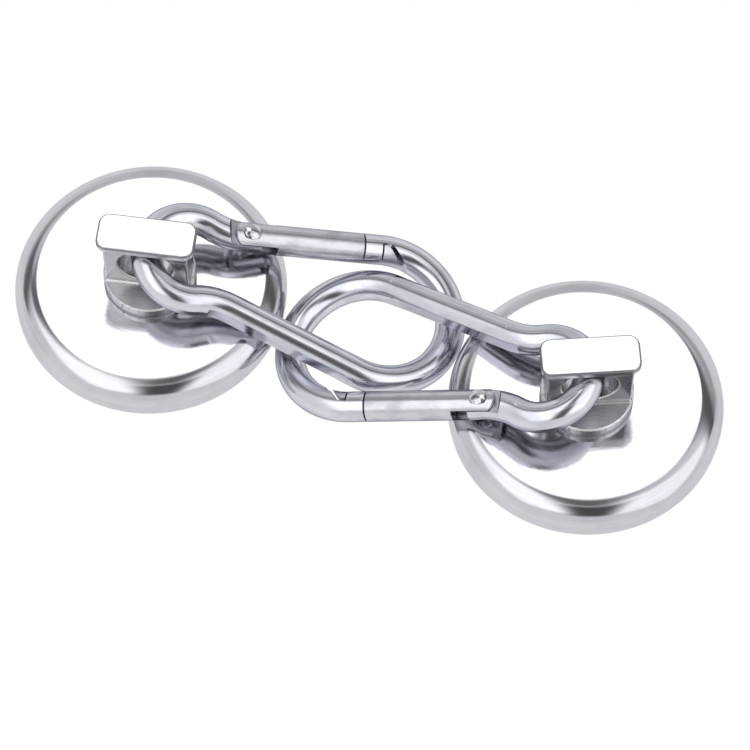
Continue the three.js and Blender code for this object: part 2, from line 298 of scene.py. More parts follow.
@dataclass(frozen=True)
class Signal:
    """A shader socket that sums can be written with."""

    board: "Board"
    socket: bpy.types.NodeSocket

    def __add__(self, other: Number) -> "Signal":
        """Adds."""
        return self.board.math("ADD", self, other)

    def __radd__(self, other: Number) -> "Signal":
        """Adds, with the signal on the right."""
        return self.board.math("ADD", other, self)

    def __sub__(self, other: Number) -> "Signal":
        """Subtracts."""
        return self.board.math("SUBTRACT", self, other)

    def __rsub__(self, other: Number) -> "Signal":
        """Subtracts the signal from a number."""
        return self.board.math("SUBTRACT", other, self)

    def __mul__(self, other: Number) -> "Signal":
        """Multiplies."""
        return self.board.math("MULTIPLY", self, other)

    def __rmul__(self, other: Number) -> "Signal":
        """Multiplies, with the signal on the right."""
        return self.board.math("MULTIPLY", other, self)

    def __truediv__(self, other: Number) -> "Signal":
        """Divides."""
        return self.board.math("DIVIDE", self, other)

    def __rtruediv__(self, other: Number) -> "Signal":
        """Divides a number by the signal."""
        return self.board.math("DIVIDE", other, self)

    def __pow__(self, other: Number) -> "Signal":
        """Raises to a power."""
        return self.board.math("POWER", self, other)

    def __rpow__(self, other: Number) -> "Signal":
        """Raises a number to the signal."""
        return self.board.math("POWER", other, self)

    def __abs__(self) -> "Signal":
        """Drops the sign."""
        return self.board.math("ABSOLUTE", self)

    def above(self, limit: Number) -> "Signal":
        """Is 1 where the signal is above a limit, else 0."""
        return self.board.math("GREATER_THAN", self, limit)

    def eased(self, low: float, high: float, out_low: float = 0.0, out_high: float = 1.0) -> "Signal":
        """Maps a range smoothly on another one, and holds the ends.

        Args:
            low: The start of the range.
            high: Its end.
            out_low: What the start becomes.
            out_high: What the end becomes.

        Returns:
            The mapped signal.
        """
        node = self.board.node(
            "ShaderNodeMapRange", {"interpolation_type": "SMOOTHSTEP"},
            {"Value": self, "From Min": low, "From Max": high, "To Min": out_low, "To Max": out_high})
        return Signal(self.board, node.outputs["Result"])


class Board:
    """Builds the nodes of one material or world."""

    def __init__(self, tree: bpy.types.NodeTree) -> None:
        """Starts on an empty tree."""
        self.tree = tree
        tree.nodes.clear()

    def node(self, kind: str, settings: dict | None = None, inputs: dict | None = None) -> bpy.types.Node:
        """Adds one node.

        Args:
            kind: The node's type.
            settings: Its properties, which are set first.
            inputs: Values or signals for its sockets, by name or number.

        Returns:
            The node.
        """
        added = self.tree.nodes.new(kind)
        for key, value in (settings or {}).items():
            setattr(added, key, value)
        for key, value in (inputs or {}).items():
            if isinstance(value, Signal):
                self.tree.links.new(value.socket, added.inputs[key])
            else:
                added.inputs[key].default_value = value
        return added

    def math(self, operation: str, *values: Number) -> Signal:
        """Adds one Math node."""
        node = self.node("ShaderNodeMath", {"operation": operation}, dict(enumerate(values)))
        return Signal(self, node.outputs[0])

    def attribute(self, name: str) -> Signal:
        """Reads a vector that is stored on the mesh."""
        return Signal(self, self.node("ShaderNodeAttribute", {"attribute_name": name}).outputs["Vector"])

    def split(self, vector: Signal) -> tuple[Signal, Signal, Signal]:
        """Splits a vector in its three numbers."""
        node = self.node("ShaderNodeSeparateXYZ", None, {0: vector})
        return tuple(Signal(self, node.outputs[k]) for k in range(3))

    def joined(self, x: Number, y: Number, z: Number) -> Signal:
        """Makes a vector from three numbers."""
        return Signal(self, self.node("ShaderNodeCombineXYZ", None, {0: x, 1: y, 2: z}).outputs[0])

    def dot(self, vector: Signal, other: Vector) -> Signal:
        """Takes the dot product of a vector signal and a fixed vector."""
        node = self.node("ShaderNodeVectorMath", {"operation": "DOT_PRODUCT"}, {0: vector, 1: tuple(other)})
        return Signal(self, node.outputs["Value"])

    def noise(self, vector: Signal, scale: float, detail: float = 3.0, roughness: float = 0.55) -> Signal:
        """Reads a noise texture, from 0 to 1 about 0.5.

        Args:
            vector: Where the texture is read.
            scale: How fine it is.
            detail: How many finer layers it has.
            roughness: How strong the finer layers are.

        Returns:
            The noise.
        """
        node = self.node("ShaderNodeTexNoise", None,
                         {"Vector": vector, "Scale": scale, "Detail": detail, "Roughness": roughness})
        return Signal(self, node.outputs["Fac"])

    def cells(self, vector: Signal, scale: float) -> Signal:
        """Reads the distance to the nearest of many scattered points."""
        node = self.node("ShaderNodeTexVoronoi", None, {"Vector": vector, "Scale": scale})
        return Signal(self, node.outputs["Distance"])

    def mixed(self, factor: Number, first: Colour | Signal, second: Colour | Signal) -> Signal:
        """Mixes two colours.

        Args:
            factor: 0 for the first colour, 1 for the second.
            first: The first colour.
            second: The second colour.

        Returns:
            The mixed colour.
        """
        def full(colour: Colour | Signal) -> tuple | Signal:
            """Gives a plain colour its alpha."""
            return colour if isinstance(colour, Signal) else (*colour, 1.0)

        node = self.node("ShaderNodeMix", {"data_type": "RGBA"},
                         {0: factor, 6: full(first), 7: full(second)})
        return Signal(self, node.outputs[2])

    def bump(self, height: Signal, strength: float, depth: float) -> Signal:
        """Turns a height into a normal; the depth is in metres."""
        node = self.node("ShaderNodeBump", None, {"Height": height, "Strength": strength, "Distance": depth})
        return Signal(self, node.outputs["Normal"])


# ---------------------------------------------------------------- finishes


@dataclass(frozen=True)
class Finish:
    """A metal surface; each kind adds its own marks."""

    slot: str
    colour: Colour
    # the darker colour: stains, and on the lug also the painted shade on the head's rounded edge
    stain_and_shade_colour: Colour
    roughness: float
    spread: float  # how far the roughness varies
    metallic: float = 1.0
    edge_tint: Colour = (0.82, 0.82, 0.85)

    def marks(self, board: Board) -> tuple[Signal, Signal]:
        """Gives the height of the surface's marks and its staining, both from 0 to 1."""
        grain = board.attribute(GRAIN)
        return board.noise(grain, 1.2), board.noise(grain, 0.15)

    def dullness(self, board: Board) -> Number:
        """Gives what is added to the roughness in some places."""
        return 0.0

    def depth(self) -> tuple[float, float]:
        """Gives the bump's strength and its depth in metres."""
        return 0.2, 0.02 * MM

    def material(self) -> bpy.types.Material:
        """Makes the material, once for each finish.

        Returns:
            The material.
        """
        name = f"{self.slot}_surface"
        if name in bpy.data.materials:
            return bpy.data.materials[name]
        material = bpy.data.materials.new(name)
        material.use_nodes = True
        board = Board(material.node_tree)
        # the second mark mixes in the darker colour: stains, and on the lug also painted shade
        height, stain = self.marks(board)
        strength, depth = self.depth()
        shader = board.node("ShaderNodeBsdfPrincipled", None, {
            "Base Color": board.mixed(stain.eased(0.35, 0.75), self.colour, self.stain_and_shade_colour),
            "Roughness": (stain + height - 1.0) * self.spread + self.roughness + self.dullness(board),
            "Metallic": self.metallic,
            "Specular Tint": (*self.edge_tint, 1.0),
            "Normal": board.bump(height, strength, depth),
        })
        out = board.node("ShaderNodeOutputMaterial")
        board.tree.links.new(shader.outputs[0], out.inputs["Surface"])
        return material


@dataclass(frozen=True)
class PolishedPlate(Finish):
    """The pot's plating: mirror-like, with fine rings left by the lathe and a few specks."""

    def marks(self, board: Board) -> tuple[Signal, Signal]:
        """Gives the rings and the faint clouds with specks.

        Args:
            board: The material's nodes.

        Returns:
            The marks' height and the staining.
        """
        grain = board.attribute(GRAIN)
        x, y, z = board.split(grain)
        radius = (x * x + y * y) ** 0.5
        around = board.joined(radius * 0.9 + z * 0.7, x * 0.02, y * 0.02)
        rings = board.noise(around, 1.6, 4.0, 0.7)
        specks = 1 - board.cells(grain, 0.12).eased(0.02, 0.05)
        clouds = board.noise(grain, 0.05, 4.0)
        return rings - specks * 0.4, (clouds + rings) * 0.5 + specks * 0.3

    def depth(self) -> tuple[float, float]:
        """Keeps the rings very shallow."""
        return 0.3, 0.03 * MM


@dataclass(frozen=True)
class DrawnWire(Finish):
    """Polished wire: the grain's X runs along it, and faint lines run the same way."""

    along: float = 0.03
    across: float = 1.5

    def marks(self, board: Board) -> tuple[Signal, Signal]:
        """Gives the lengthwise lines and a slow change of tint.

        Args:
            board: The material's nodes.

        Returns:
            The lines' height and the tint.
        """
        s, n, z = board.split(board.attribute(GRAIN))
        lines = board.noise(board.joined(s * self.along, n * self.across, z * self.across), 2.0, 4.0, 0.6)
        tint = board.noise(board.joined(s * 0.12, n * 0.3, z * 0.3), 1.0, 2.0)
        return lines, tint

    def depth(self) -> tuple[float, float]:
        """Gives the lines' depth."""
        return 0.3, 0.02 * MM


@dataclass(frozen=True)
class MilledSteel(Finish):
    """The lug: sweeping cutter arcs on its top, lines across its faces, rings on its foot, painted edge
    shade.
    """

    foot_top: float = 22.6
    head_low: float = 45.0
    edge_shade_low: float = 45.15
    edge_shade_high: float = 45.84
    cutter: Point2 = (-30.0, 4.0)

    def marks(self, board: Board) -> tuple[Signal, Signal]:
        """Gives the cutter marks of each face, the stain between them, and painted shade on the head's edge.

        Args:
            board: The material's nodes.

        Returns:
            The marks' height, and the staining with the painted edge shade added.
        """
        grain = board.attribute(GRAIN)
        x, y, z = board.split(grain)
        dx, dy = x - self.cutter[0], y - self.cutter[1]
        sweep = (dx * dx + dy * dy) ** 0.5
        arcs = board.noise(board.joined(sweep * 0.9, y * 0.02, 0.0), 1.0, 3.0)
        ring = (x * x + y * y) ** 0.5
        rings = board.noise(board.joined(ring * 2.2, x * 0.03, y * 0.03), 1.2, 4.0, 0.7)
        lines = board.noise(board.joined(x * 0.12, y * 0.12, z * 2.4), 1.6, 4.0, 0.65)
        on_foot = 1 - z.above(self.foot_top)
        on_head = z.above(self.head_low)
        height = rings * on_foot + arcs * on_head + lines * (1 - on_foot) * (1 - on_head)
        pits = (1 - board.cells(grain, 0.9).eased(0.06, 0.14)) * on_foot
        strokes = board.noise(board.joined(x * 0.14, y * 1.5, 0.0), 1.3, 4.0, 0.7).eased(0.38, 0.66)
        brushed = lines.eased(0.3, 0.7) * (1 - on_foot) * (1 - on_head)
        cloud = board.noise(grain, 0.35)
        # painted shade: a dark band on the head's rounded edge, mixed towards the darker colour
        edge = z.above(self.edge_shade_low) * (1 - z.above(self.edge_shade_high))
        swept = arcs.eased(0.4, 0.7) * on_head
        stain = cloud * 0.3 + brushed * 0.35 + strokes * on_foot * 0.42 + swept * 0.14
        # the painted edge shade is added to the stains here
        return height - pits * 0.5, stain + pits * 0.4 + edge * 0.7

    def dullness(self, board: Board) -> Number:
        """Makes the foot, which is only turned, duller than the rest."""
        height = board.split(board.attribute(GRAIN))[2]
        return (1 - height.above(self.foot_top)) * 0.1

    def depth(self) -> tuple[float, float]:
        """Gives the marks' depth."""
        return 0.4, 0.025 * MM


@dataclass(frozen=True)
class Hammered(Finish):
    """A rivet's head as the setting tool leaves it."""

    def marks(self, board: Board) -> tuple[Signal, Signal]:
        """Gives small dents."""
        grain = board.attribute(GRAIN)
        return board.noise(grain, 0.55, 1.0), board.noise(grain, 0.8)

    def depth(self) -> tuple[float, float]:
        """Gives the dents' depth."""
        return 0.5, 0.2 * MM


POT_PLATE = PolishedPlate("polished_chrome", (0.62, 0.62, 0.65), (0.5, 0.5, 0.535), 0.12, 0.1)
MAGNET_PLATE = PolishedPlate("plated_magnet", (0.5, 0.5, 0.52), (0.4, 0.4, 0.42), 0.28, 0.12)
RESIN = Finish("black_resin", (0.022, 0.022, 0.026), (0.05, 0.05, 0.055), 0.42, 0.2, 0.0)
ZINC = DrawnWire("zinc_fastener", (0.52, 0.53, 0.55), (0.42, 0.44, 0.47), 0.3, 0.15, along=0.5, across=0.5)
MILLED = MilledSteel("milled_steel", (0.66, 0.66, 0.67), (0.24, 0.24, 0.26), 0.27, 0.2)
WIRE_STEEL = DrawnWire("polished_wire", (0.67, 0.665, 0.715), (0.53, 0.555, 0.6), 0.17, 0.1,
                       edge_tint=(0.36, 0.37, 0.43))
GATE_STEEL = DrawnWire("brushed_gate", (0.6, 0.6, 0.635), (0.43, 0.44, 0.48), 0.25, 0.16,
                       edge_tint=(0.4, 0.4, 0.46), across=3.0)
RIVET_STEEL = Hammered("rivet_steel", (0.68, 0.68, 0.7), (0.45, 0.46, 0.5), 0.14, 0.1)
SPRING_STEEL = DrawnWire("spring_steel", (0.42, 0.43, 0.46), (0.3, 0.3, 0.33), 0.3, 0.1)


# ---------------------------------------------------------------- pieces


@dataclass(frozen=True)
class Piece:
    """One visible piece that stands for one node of the frame."""

    node: str
    body: str
    finish: Finish
    crease: float = math.radians(28)
    bevel: float = 0.0

    def build(self, form: Form, place: Matrix, grain: Callable[[Vector], Vector] | None = None) -> None:
        """Makes the piece's object and lays it in the frame.

        Args:
            form: Its shape, in millimetres.
            place: The matrix from the piece's own frame to the set's frame, both in millimetres.
            grain: Gives a point's place in the metal's grain; the point itself if left out.
        """
        data = form.mesh(f"{self.node}_fine")
        if self.bevel:
            data = Bench.finished(data, [("BEVEL", {
                "width": self.bevel, "segments": 2, "limit_method": "ANGLE",
                "angle_limit": math.radians(34), "use_clamp_overlap": True})])
        data.name = f"{self.node}_fine"
        store = data.attributes.new(GRAIN, "FLOAT_VECTOR", "POINT")
        reader = grain or (lambda point: point)
        for vertex, value in zip(data.vertices, store.data):
            value.vector = reader(vertex.co)
        data.transform(Matrix.Scale(MM, 4) @ place)
        for polygon in data.polygons:
            polygon.use_smooth = True
        data.set_sharp_from_angle(angle=self.crease)
        data = Bench.finished(data, [("WEIGHTED_NORMAL", {"keep_sharp": True, "weight": 80})])
        data.name = f"{self.node}_fine"
        data.materials.clear()
        data.materials.append(self.finish.material())
        obj = bpy.data.objects.new(f"{self.node}_fine", data)
        bpy.context.scene.collection.objects.link(obj)
        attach(obj, self.body)
        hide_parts(self.node)
        LOG.info("%s: %d faces", obj.name, len(data.polygons))


@dataclass
class Frame:
    """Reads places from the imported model, in millimetres."""

    joints: dict[str, dict]

    def centre(self, node: str) -> Vector:
        """Gives the middle of a node's box, at the set's base.

        Args:
            node: The node's name.

        Returns:
            The place, on the base plane.
        """
        low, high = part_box(node)
        middle = (low + high) / 2 / MM
        return Vector((middle.x, middle.y, 0))

    def axis(self, joint: str) -> Vector:
        """Gives a joint's axis."""
        return Vector(self.joints[joint]["axis"]).normalized()

    def pivot(self, joint: str) -> Vector:
        """Gives a hinge's place."""
        return Vector(self.joints[joint]["pos_m"]) / MM


@dataclass
class PotMagnet:
    """A steel cup with the magnet ring cast in, and the eye lug bolted through it."""

    side: Side
    frame: Frame
    radius: float = 45
    height: float = 18
    top_edge: float = 7
    top_run: float = 7.9
    low_edge: float = 9
    plate: float = 6.5
    bore: float = 33
    magnet_hole: float = 11
    magnet_radius: float = 30
    recess: float = 0.5
    stud: float = 5
    clearance: float = 0.3
    washer: float = 1
    nut_across: float = 17
    nut_height: float = 5
    foot_radius: float = 15.3
    foot_height: float = 3.4
    tongue_half: float = 5.2
    tongue_height: float = 21
    head_height: float = 2.5
    head_half: Point2 = (16.1, 6.7)
    head_corner: float = 3.7
    head_flare: float = 4.2
    head_round: float = 0.7
    tongue_corner: float = 0.7
    eye_radius: float = 9
    eye_flare: float = 0.8
    eye_above_foot: float = 11.1

    @property
    def roof(self) -> float:
        """Height of the cup's inner face."""
        return self.height - self.plate

    @property
    def foot_top(self) -> float:
        """Height of the ledge round the lug's tongue."""
        return self.height + self.washer + self.foot_height

    @property
    def eye_height(self) -> float:
        """Height of the eye's axis."""
        return self.foot_top + self.eye_above_foot

    def place(self) -> Matrix:
        """The cup's frame."""
        return Matrix.Translation(self.frame.centre(f"{self.side.value}_pot_shell"))

    def lug_place(self) -> Matrix:
        """The lug's frame, turned so that its eye looks along the swing joint's axis."""
        axis = self.frame.axis(f"{self.side.value}_swing")
        return self.place() @ Matrix.Rotation(math.atan2(axis.x, -axis.y), 4, "Z")

    def shell(self) -> Form:
        """The cup: a flat top and rim joined by two broad rounds.

        Returns:
            The cup's form.
        """
        hole = self.stud + self.clearance
        edge = 0.4
        return turned([
            (self.bore, edge), (self.bore + edge, 0),
            *arc((self.radius - self.low_edge, self.low_edge), self.low_edge, -RIGHT_ANGLE, 0, 24),
            *self.upper_round(28),
            (hole + edge, self.height), (hole, self.height - edge),
            (hole, self.roof), (self.bore, self.roof), (self.bore, edge),
        ], 192)

    def upper_round(self, steps: int) -> list[Point2]:
        """The round from the cup's side to its top, which runs a little farther inwards than down.

        Args:
            steps: The number of steps along it.

        Returns:
            Its points of (radius, height), from the side to the top.
        """
        angles = [RIGHT_ANGLE * k / steps for k in range(steps + 1)]
        middle, low = self.radius - self.top_run, self.height - self.top_edge
        return [(middle + self.top_run * math.cos(a), low + self.top_edge * math.sin(a)) for a in angles]

    def magnet(self) -> Form:
        """The magnet ring, with the small bevels of a pressed and plated ring.

        Returns:
            The ring's form.
        """
        edge = 0.5
        low, high = self.recess, self.roof
        return turned([
            (self.magnet_hole, low + edge), (self.magnet_hole + edge, low),
            (self.magnet_radius - edge, low), (self.magnet_radius, low + edge),
            (self.magnet_radius, high), (self.magnet_hole, high), (self.magnet_hole, low + edge),
        ])

    def resin(self) -> Form:
        """The cast ring between magnet and cup, sunk a little between its two edges.

        Returns:
            The resin's form.
        """
        inner = self.magnet_radius + self.clearance
        outer = self.bore - self.clearance
        middle = (inner + outer) / 2
        low = self.recess
        return turned([(inner, low), (middle, low + 0.3), (outer, low), (outer, self.roof),
                       (inner, self.roof), (inner, low)])

    def washer_ring(self) -> Form:
        """The thin ring under the lug's foot.

        Returns:
            The washer's form.
        """
        edge = 0.2
        inner, outer = self.stud + self.clearance, self.foot_radius - self.clearance
        low, high = self.height, self.height + self.washer
        return turned([
            (inner, low), (outer - edge, low), (outer, low + edge), (outer, high - edge),
            (outer - edge, high), (inner, high), (inner, low)])

    def nut(self) -> Form:
        """A hexagon nut with chamfered corners and the crests of its thread.

        Returns:
            The nut's form.
        """
        low, high = self.roof - self.nut_height, self.roof
        corner = self.nut_across / 2 / math.cos(math.pi / 6)
        slope = corner - self.nut_across / 2
        hexagon = prism(arc((0, 0), corner, 0, 2 * math.pi, 6)[:-1], low, high)
        chamfer = turned([(0, low), (corner - slope, low), (corner, low + slope * 0.58),
                          (corner, high - slope * 0.58), (corner - slope, high), (0, high)])
        return Bench.worked(
            hexagon, [(Cut.COMMON, chamfer), (Cut.AWAY, self.thread_space(low - 1, high + 1))])

    def thread_space(self, low: float, high: float) -> Form:
        """The bore of the nut: grooves a thread's pitch apart.

        Args:
            low: Where the thread starts, below the nut.
            high: Where it ends, above the nut.

        Returns:
            The cutter's form.
        """
        pitch, depth = 1.25, 0.5
        crest = self.stud + self.clearance
        grooves = []
        for turn in range(round((high - low) / pitch)):
            start = low + turn * pitch
            grooves += [(crest, start), (crest + depth, start + pitch / 2)]
        return turned([(0, low), *grooves, (crest, high), (0, high)])

    def lug_outline(self, half_x: float, half_y: float, corner: float, z: float) -> list[Vector]:
        """One level of the lug: a rectangle with round corners, or a circle where corner is the radius.

        Args:
            half_x: Half its length.
            half_y: Half its thickness.
            corner: Its corners' radius.
            z: Its height.

        Returns:
            The ring of points.
        """
        steps = 12
        ring: list[Vector] = []
        for quarter, (sx, sy) in enumerate(((1, -1), (1, 1), (-1, 1), (-1, -1))):
            centre = (sx * (half_x - corner), sy * (half_y - corner))
            start = (quarter - 1) * RIGHT_ANGLE
            ring += [Vector((x, y, z)) for x, y in arc(centre, corner, start, start + RIGHT_ANGLE, steps)]
        return ring

    def lug(self) -> Form:
        """The lug, lofted level by level, with its stud below and the eye cut across.

        Returns:
            The lug's form.
        """
        foot, thick, corner = self.foot_radius, self.tongue_half, self.tongue_corner
        long = math.sqrt(foot ** 2 - thick ** 2) - 0.5
        base, top = self.height + self.washer, self.foot_top
        under = top + self.tongue_height
        crown = under + self.head_height
        stud_low = self.roof - self.nut_height - 0.5
        edge = 0.5
        levels = [(self.stud - edge, stud_low), (self.stud, stud_low + edge), (self.stud, base)]
        levels += [(foot - 0.3, base), (foot, base + 0.3), (foot, top - edge), (foot - edge, top)]
        rings = [self.lug_outline(r, r, r, z) for r, z in levels]
        for lift, out in ((0.0, 1.0), (0.12, 0.55), (0.45, 0.18), (1.0, 0.0)):
            rings.append(self.lug_outline(long + 0.1 * out, thick + out, corner + out * 0.4, top + lift))
        flare, steps = self.head_flare, 10
        for step in range(steps + 1):
            angle = RIGHT_ANGLE * step / steps
            rise = math.sin(angle)
            out = 1 - math.cos(angle)
            half_x = long + (self.head_half[0] - long) * out
            half_y = thick + (self.head_half[1] - thick) * out
            rings.append(self.lug_outline(half_x, half_y, corner + (self.head_corner - corner) * out,
                                          under - flare * (1 - rise)))
        for step in range(7):
            angle = RIGHT_ANGLE * step / 6
            inset = self.head_round * (1 - math.cos(angle))
            level = crown - self.head_round + self.head_round * math.sin(angle)
            rings.append(self.lug_outline(self.head_half[0] - inset, self.head_half[1] - inset,
                                          self.head_corner - inset, level))
        return Bench.worked(lofted(rings), [(Cut.AWAY, self.eye_space())])

    def eye_space(self) -> Form:
        """The eye's cutter along Y, with a rounded mouth at each face.

        Returns:
            The cutter's form, at the eye's place in the lug.
        """
        half, flare, radius, steps = self.tongue_half, self.eye_flare, self.eye_radius, 6
        angles = [RIGHT_ANGLE * k / steps for k in range(steps + 1)]
        mouth = [(radius + flare * (1 - math.cos(a)), half - flare * (1 - math.sin(a))) for a in angles]
        beyond = (radius + 2 * flare, half + flare)
        outline = [*mouth, beyond]
        mirrored = [(r, -y) for r, y in reversed(outline)]
        lathe = turned([(0, -beyond[1]), *mirrored, *outline, (0, beyond[1])], 96)
        return lathe.moved(Matrix.Translation((0, 0, self.eye_height)) @ Matrix.Rotation(RIGHT_ANGLE, 4, "X"))

    def build(self) -> None:
        """Makes the six pieces."""
        name, body = self.side.value, f"magnet_{self.side.value}"
        place = self.place()
        Piece(f"{name}_pot_shell", body, POT_PLATE).build(self.shell(), place)
        Piece(f"{name}_magnet_ring", body, MAGNET_PLATE).build(self.magnet(), place)
        Piece(f"{name}_resin_ring", body, RESIN).build(self.resin(), place)
        Piece(f"{name}_lug_washer", body, ZINC).build(self.washer_ring(), place)
        Piece(f"{name}_lock_nut", body, ZINC).build(self.nut(), place)
        Piece(f"{name}_eye_lug", body, MILLED, bevel=0.12).build(self.lug(), self.lug_place())


@dataclass
class PathPoint:
    """A place on the wire's centre line."""

    x: float
    y: float
    heading: float
    run: float


@dataclass
class SnapHook:
    """A bent wire hook with its sprung gate.

    In the hook's own frame the small end is centred on the origin, the big end lies along +X, the gate
    is on the +Y side, and Z is square to the hook's plane. In the gate's frame X runs along the gate
    from the start of its straight line, Y outwards, and Z as the hook's.
    """

    side: Side
    frame: Frame
    wire: float = 5
    small: float = 14.6
    big: float = 23.3
    span: float = 66.5
    flare: float = math.radians(12)
    neck: float = 24
    clearance: float = 0.3
    pin: float = 0.8
    shoulder: float = -5.8
    shoulder_slope: float = 2.4
    tongue_end: float = 4.5
    tongue_half: float = 2.7
    rivet: float = 1.6
    rivet_head: float = 2.75
    rivet_dome: float = 1.1
    head_seat: float = 0.5
    gate_round: float = 5.2
    gate_end: float = 39
    slot_end: float = 10
    gate_bore: float = 3.1
    bore_end: float = 33
    neck_half: float = 1.4
    latch_top: float = -0.3
    latch_back: float = 45.7
    latch_tip: float = 47.2
    latch_slant: float = 0.8
    prong_gap: float = 0.6
    front_gap: float = 1.3
    gap_floor: float = -0.4
    seam_play: float = 0.15
    pressed: float = 0.9
    pressed_starts: Point2 = (9.0, 12.0)  # where the outer and the inner flat start
    pressed_margin: float = 2
    pressed_fade: float = 8
    collar: Point2 = (11, 12.5)
    collar_radius: float = 2.7
    guide_radius: float = 1.3
    guide_end: float = 19
    spring_radius: float = 2.2
    spring_wire: float = 0.4
    spring_turns: int = 9
    path: list[PathPoint] = field(default_factory=list)

    @property
    def line_offset(self) -> float:
        """Distance of the gate's line from the small end's centre."""
        return self.big - self.span * math.sin(self.flare)

    @property
    def line_start(self) -> float:
        """Where the gate's line starts, counted along it."""
        return math.sqrt((self.small + self.neck) ** 2 - (self.line_offset + self.neck) ** 2)

    @property
    def line_length(self) -> float:
        """Length of the gate's line up to the big end."""
        return self.span * math.cos(self.flare) - self.line_start

    @property
    def reach(self) -> float:
        """How far the cutters reach, which is well past the wire's surface."""
        return 1.5 * self.wire

    def gate_frame(self) -> Matrix:
        """The matrix from the gate's frame to the hook's."""
        turn = Matrix.Rotation(self.flare, 4, "Z")
        return turn @ Matrix.Translation((self.line_start, self.line_offset, 0))

    def place(self) -> Matrix:
        """The hook's frame, from the gate's hinge and the plunger's slide.

        Returns:
            The matrix from the hook's frame to the set's.
        """
        name = self.side.value
        up = -self.frame.axis(f"{name}_gate_hinge")
        along = self.frame.axis(f"{name}_plunger_slide")
        across = up.cross(along)
        turned_frame = Matrix((along, across, up)).transposed().to_4x4()
        gate = Matrix.Translation(self.frame.pivot(f"{name}_gate_hinge")) @ turned_frame
        return gate @ Matrix.Translation((-self.pin, 0, 0)) @ self.gate_frame().inverted()

    def centre_line(self) -> list[PathPoint]:
        """The wire's centre line: nose, big end, spine, neck, small end, neck and tongue.

        Returns:
            Its points in order.
        """
        step = 0.75
        gate = self.gate_frame()
        middle = gate @ Vector((0, self.neck, 0))
        neck_angle = math.atan2(middle.y, middle.x)
        low = -(RIGHT_ANGLE - self.flare)
        path: list[PathPoint] = []

        def line(start: Vector, end: Vector) -> None:
            """Adds a straight stretch.

            Args:
                start: Where it starts.
                end: Where it ends.
            """
            heading = math.atan2(end.y - start.y, end.x - start.x)
            shares = self.shares((end - start).length, step)
            self.extend(path, [(*start.lerp(end, share).xy, heading) for share in shares])

        def bend(centre: Point2, radius: float, start: float, end: float) -> None:
            """Adds a bend.

            Args:
                centre: The bend's centre.
                radius: Its radius.
                start: The angle of its first point, in radians.
                end: The angle of its last point.
            """
            turn = math.copysign(RIGHT_ANGLE, end - start)
            angles = [start + (end - start) * k for k in self.shares(abs(end - start) * radius, step)]
            self.extend(path, [(centre[0] + radius * math.cos(a), centre[1] + radius * math.sin(a), a + turn)
                               for a in angles])

        mirror = Matrix.Scale(-1, 4, (0, 1, 0))
        stations = (self.gate_end + self.clearance, self.line_length, 0)
        nose, top, start = (gate @ Vector((station, 0, 0)) for station in stations)
        line(nose, top)
        bend((self.span, 0), self.big, RIGHT_ANGLE + self.flare, -RIGHT_ANGLE - self.flare)
        line(mirror @ top, mirror @ start)
        bend((middle.x, -middle.y), self.neck, -low, math.pi - neck_angle)
        bend((0, 0), self.small, -neck_angle, neck_angle - 2 * math.pi)
        bend((middle.x, middle.y), self.neck, neck_angle - math.pi, low)
        line(start, gate @ Vector((self.tongue_end, 0, 0)))
        return path

    @staticmethod
    def shares(length: float, step: float) -> list[float]:
        """Lists even shares of a stretch, its ends included."""
        count = max(2, round(length / step))
        return [k / count for k in range(count + 1)]

    @staticmethod
    def extend(path: list[PathPoint], stretch: Sequence[tuple[float, float, float]]) -> None:
        """Adds points to the centre line, and leaves out the one that the last stretch ended on.

        Args:
            path: The centre line so far.
            stretch: Points of (x, y, heading).
        """
        for x, y, heading in stretch:
            gap = math.hypot(x - path[-1].x, y - path[-1].y) if path else 0.0
            if path and gap < 1e-6:
                continue
            path.append(PathPoint(x, y, heading, (path[-1].run if path else 0.0) + gap))

    def section(self, point: PathPoint, flats: Point2) -> list[Vector]:
        """One ring of the wire, with flats pressed on its outer and inner sides.

        Args:
            point: The place on the centre line.
            flats: How deep the outer and the inner flat are pressed.

        Returns:
            The ring of points.
        """
        sides = 64
        across = Vector((-math.sin(point.heading), math.cos(point.heading), 0))
        ring = []
        for k in range(sides):
            angle = 2 * math.pi * k / sides
            reach = max(-self.wire + flats[1], min(self.wire - flats[0], self.wire * math.cos(angle)))
            ring.append(Vector((point.x, point.y, self.wire * math.sin(angle))) + across * reach)
        return ring

    def wire_form(self) -> Form:
        """The bent wire, before it is cut.

        Returns:
            The wire's form.
        """
        rings = []
        for point in self.path:
            outer = inner = 0.0
            if point.y < 0 and math.cos(point.heading) < 0:
                fade = min(1.0, max(0.0, (self.span - self.pressed_margin - point.x) / self.pressed_fade))
                outer, inner = (self.pressed * fade * (point.x > start) for start in self.pressed_starts)
            rings.append(self.section(point, (outer, inner)))
        return lofted(rings)

    def shoulder_cut(self, way: int) -> Form:
        """Cuts one side of the wire's end down to the tongue, with a sloped shoulder.

        Args:
            way: 1 for the upper side, -1 for the lower side.

        Returns:
            The cutter's form, in the gate's frame.
        """
        reach = self.reach
        outline = [(self.shoulder, self.tongue_half), (self.tongue_end + 1, self.tongue_half),
                   (self.tongue_end + 1, reach), (self.shoulder - self.shoulder_slope, reach)]
        rings = [[Vector((s, n, way * z)) for s, z in outline] for n in (-reach, reach)]
        return lofted(rings)

    def latch_outline(self, back_gap: float, top_gap: float, front_gap: float) -> list[Point2]:
        """The latch's outline, grown by its gaps where it is cut out of the nose.

        Args:
            back_gap: The gap behind it.
            top_gap: The gap above it.
            front_gap: The gap at its tip.

        Returns:
            Its corners.
        """
        reach = self.reach
        high = self.latch_top + top_gap
        front, rear = self.latch_tip + front_gap, self.latch_back - back_gap
        slanted = front + self.latch_slant * (reach + high)
        return [(rear, -reach), (slanted, -reach), (front, high), (rear, high)]

